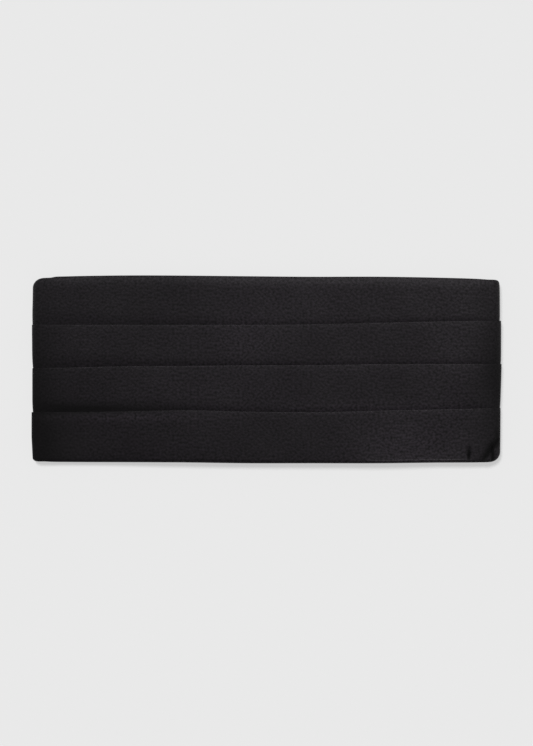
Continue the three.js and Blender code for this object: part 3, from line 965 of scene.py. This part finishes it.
def elastic_material(group):
    """Ribbed elastic webbing: evenly spaced ribs across the strap, over a fine weave."""
    material, shader, wire = new_material("elastic", (0.008, 0.008, 0.009), 0.7)
    weave = weave_on(wire, group, ELASTIC_THREAD, 0.5)
    x = wire.x_and_y(wire.add("ShaderNodeUVMap", uv_map="cloth").outputs["UV"])[0]
    rib = wire.math("ABSOLUTE", wire.math("SINE", wire.math("MULTIPLY", x, math.pi / ELASTIC_RIB)))
    wire.link(wire.mix(rib, *ELASTIC_TONES), shader.inputs["Base Color"])
    wire.link(wire.ramp(weave.outputs["Grain"], 0.3, 0.7, 0.78, 0.64), shader.inputs["Roughness"])
    shader.inputs["Specular IOR Level"].default_value = 0.25
    fine = wire.math("MULTIPLY", weave.outputs["Height"], 0.5)
    bump_on(wire, shader, wire.math("ADD", wire.math("MULTIPLY", rib, 1.5), fine), 0.14 * MM)
    return material


def clasp_material():
    """Satin black paint on brushed metal: fine lines along the plate, and a faint slow unevenness."""
    material, shader, wire = new_material("clasp_metal", (0.012, 0.012, 0.013), 0.35)
    place_on = wire.add("ShaderNodeTexCoord").outputs["Object"]
    brushed = wire.noise(wire.vector("MULTIPLY", place_on, (60.0, 2600.0, 2600.0)), 1.0)
    patch = wire.noise(place_on, 45.0, detail=1.0)
    wire.link(wire.mix(wire.ramp(brushed, 0.3, 0.7, 0.0, 1.0), *CLASP_TONES), shader.inputs["Base Color"])
    wire.link(wire.ramp(patch, 0.35, 0.65, 0.40, 0.32), shader.inputs["Roughness"])
    shader.inputs["Metallic"].default_value = 0.4
    bump_on(wire, shader, brushed, 0.012 * MM)
    return material


def thread_material():
    """Twisted black thread: fine turns along each stitch."""
    material, shader, wire = new_material("sewing_thread", (0.012, 0.012, 0.013), 0.55)
    x, y = wire.x_and_y(wire.add("ShaderNodeUVMap", uv_map="cloth").outputs["UV"])
    lean = wire.math("ADD", x, y)
    turns = wire.math("ABSOLUTE", wire.math("SINE", wire.math("MULTIPLY", lean, math.pi / STITCH_TURN)))
    wire.link(wire.mix(turns, *STITCH_TONES), shader.inputs["Base Color"])
    bump_on(wire, shader, turns, 0.04 * MM)
    return material


TABLE_REACH = 30
TABLE_POINTS = 7
TABLE_GAP = 0.02 * MM
TABLE_GLOW = 0.531


def table_top():
    """A plain pale table, a flat grid wide enough for every view. Most of its light is its own glow, so
    the sash hardly darkens it."""
    reach = np.linspace(-TABLE_REACH, TABLE_REACH, TABLE_POINTS)
    x, y = np.meshgrid(reach, reach, indexing="ij")
    points = np.stack([x, y, 0 * x - TABLE_GAP], -1).reshape(-1, 3)
    mesh = bpy.data.meshes.new("table_top")
    mesh.from_pydata(points, [], grid_faces(TABLE_POINTS, TABLE_POINTS, False)[:, ::-1].tolist())
    material, shader, wire = new_material("table_paint", (0.2, 0.2, 0.2), 0.9)
    shader.inputs["Emission Color"].default_value = (1, 1, 1, 1)
    shader.inputs["Emission Strength"].default_value = TABLE_GLOW
    shader.inputs["Specular IOR Level"].default_value = 0.1
    place_on = wire.add("ShaderNodeTexCoord").outputs["Object"]
    wire.link(wire.mix(wire.noise(place_on, 3.0), *TABLE_TONES), shader.inputs["Base Color"])
    mesh.materials.append(material)
    table = bpy.data.objects.new("table_top", mesh)
    bpy.context.scene.collection.objects.link(table)


def area_light(name, place_at, aim, size, power):
    """A rectangle of light that is itself unseen, turned towards a point."""
    light = bpy.data.lights.new(name, "AREA")
    light.shape = "RECTANGLE"
    light.size, light.size_y = size
    light.energy = power
    lamp = bpy.data.objects.new(name, light)
    bpy.context.scene.collection.objects.link(lamp)
    lamp.location = place_at
    lamp.visible_camera = False
    towards = Vector(aim) - Vector(place_at)
    lamp.rotation_euler = towards.to_track_quat("-Z", "Y").to_euler()
    return lamp


def sun_light(name, from_direction, angle, strength):
    """A sun that shines from a direction, as wide as an angle."""
    light = bpy.data.lights.new(name, "SUN")
    light.energy = strength
    light.angle = angle
    lamp = bpy.data.objects.new(name, light)
    bpy.context.scene.collection.objects.link(lamp)
    lamp.location = from_direction
    lamp.rotation_euler = (-Vector(from_direction)).to_track_quat("-Z", "Y").to_euler()
    return lamp


KEY_FROM = (-0.27, 0.47, 1.0)
KEY_ANGLE = math.radians(18)


def studio():
    """A pale surround, and soft lights on the sash alone: the key from the far left, a wide sun from the
    far side, a weaker one from each side, and a small light high at the right for gloss. The table has a
    sun of its own from the key's direction, which sets its tone apart from the cloth's."""
    on_table = sun_light("table_key", KEY_FROM, KEY_ANGLE, 4.3)
    on_sash = [
        sun_light("key", KEY_FROM, KEY_ANGLE, 1.0),
        sun_light("far", (0.15, 1.0, 1.0), math.radians(25), 0.95),
        sun_light("left_side", (-1.9, 0.2, 1.0), math.radians(40), 0.5),
        sun_light("right_side", (1.8, 0.2, 1.0), math.radians(40), 0.75),
        area_light("gloss", (0.36, 0.24, 0.85), (0, 0, 0), (0.2, 0.2), 1.75),
    ]
    sash, table = bpy.data.collections.new("sash"), bpy.data.collections.new("table")
    for piece in bpy.context.scene.objects:
        if piece.type == "MESH":
            (table if piece.name == "table_top" else sash).objects.link(piece)
    on_table.light_linking.receiver_collection = table
    for lamp in on_sash:
        lamp.light_linking.receiver_collection = sash
    world = bpy.data.worlds.new("surround")
    world.use_nodes = True
    back = world.node_tree.nodes["Background"]
    back.inputs["Color"].default_value = (1, 1, 1, 1)
    back.inputs["Strength"].default_value = 0.2
    bpy.context.scene.world = world
    bpy.context.scene.view_settings.view_transform = "Standard"


# The photograph's frame, in its own pixels, and where the sash lies in it
FRAME_HEIGHT_PX = 746
SASH_LENGTH_PX = 470.3
SASH_ABOVE_MIDDLE_PX = 3.65
LENS = 100
SENSOR = 36


def camera():
    """Straight above the sash, at the height from which the photograph's frame shows it at its size."""
    data = bpy.data.cameras.new("camera")
    data.lens = LENS
    data.sensor_width = SENSOR
    scale = 2 * HALF_LENGTH / SASH_LENGTH_PX
    distance = FRAME_HEIGHT_PX * scale * LENS / SENSOR
    eye = bpy.data.objects.new("camera", data)
    bpy.context.scene.collection.objects.link(eye)
    eye.location = (0, -SASH_ABOVE_MIDDLE_PX * scale, distance + TURN_RADIUS)
    bpy.context.scene.camera = eye


weave_group = pebble_weave()
shell = shell_material(weave_group)
webbing = elastic_material(weave_group)
thread = thread_material()
top_pleat(shell)
middle_pleat("upper_pleat", "fold_a", "fold_b", "fold_c", shell)
middle_pleat("lower_pleat", "fold_b", "fold_c", "hem", shell)
bottom_pleat(shell)
lining(lining_material(weave_group))
strap(-1, webbing)
strap(1, webbing)
clasp(clasp_material())
hem_stitches(thread)
strap_stitches(thread)
table_top()
studio()
camera()
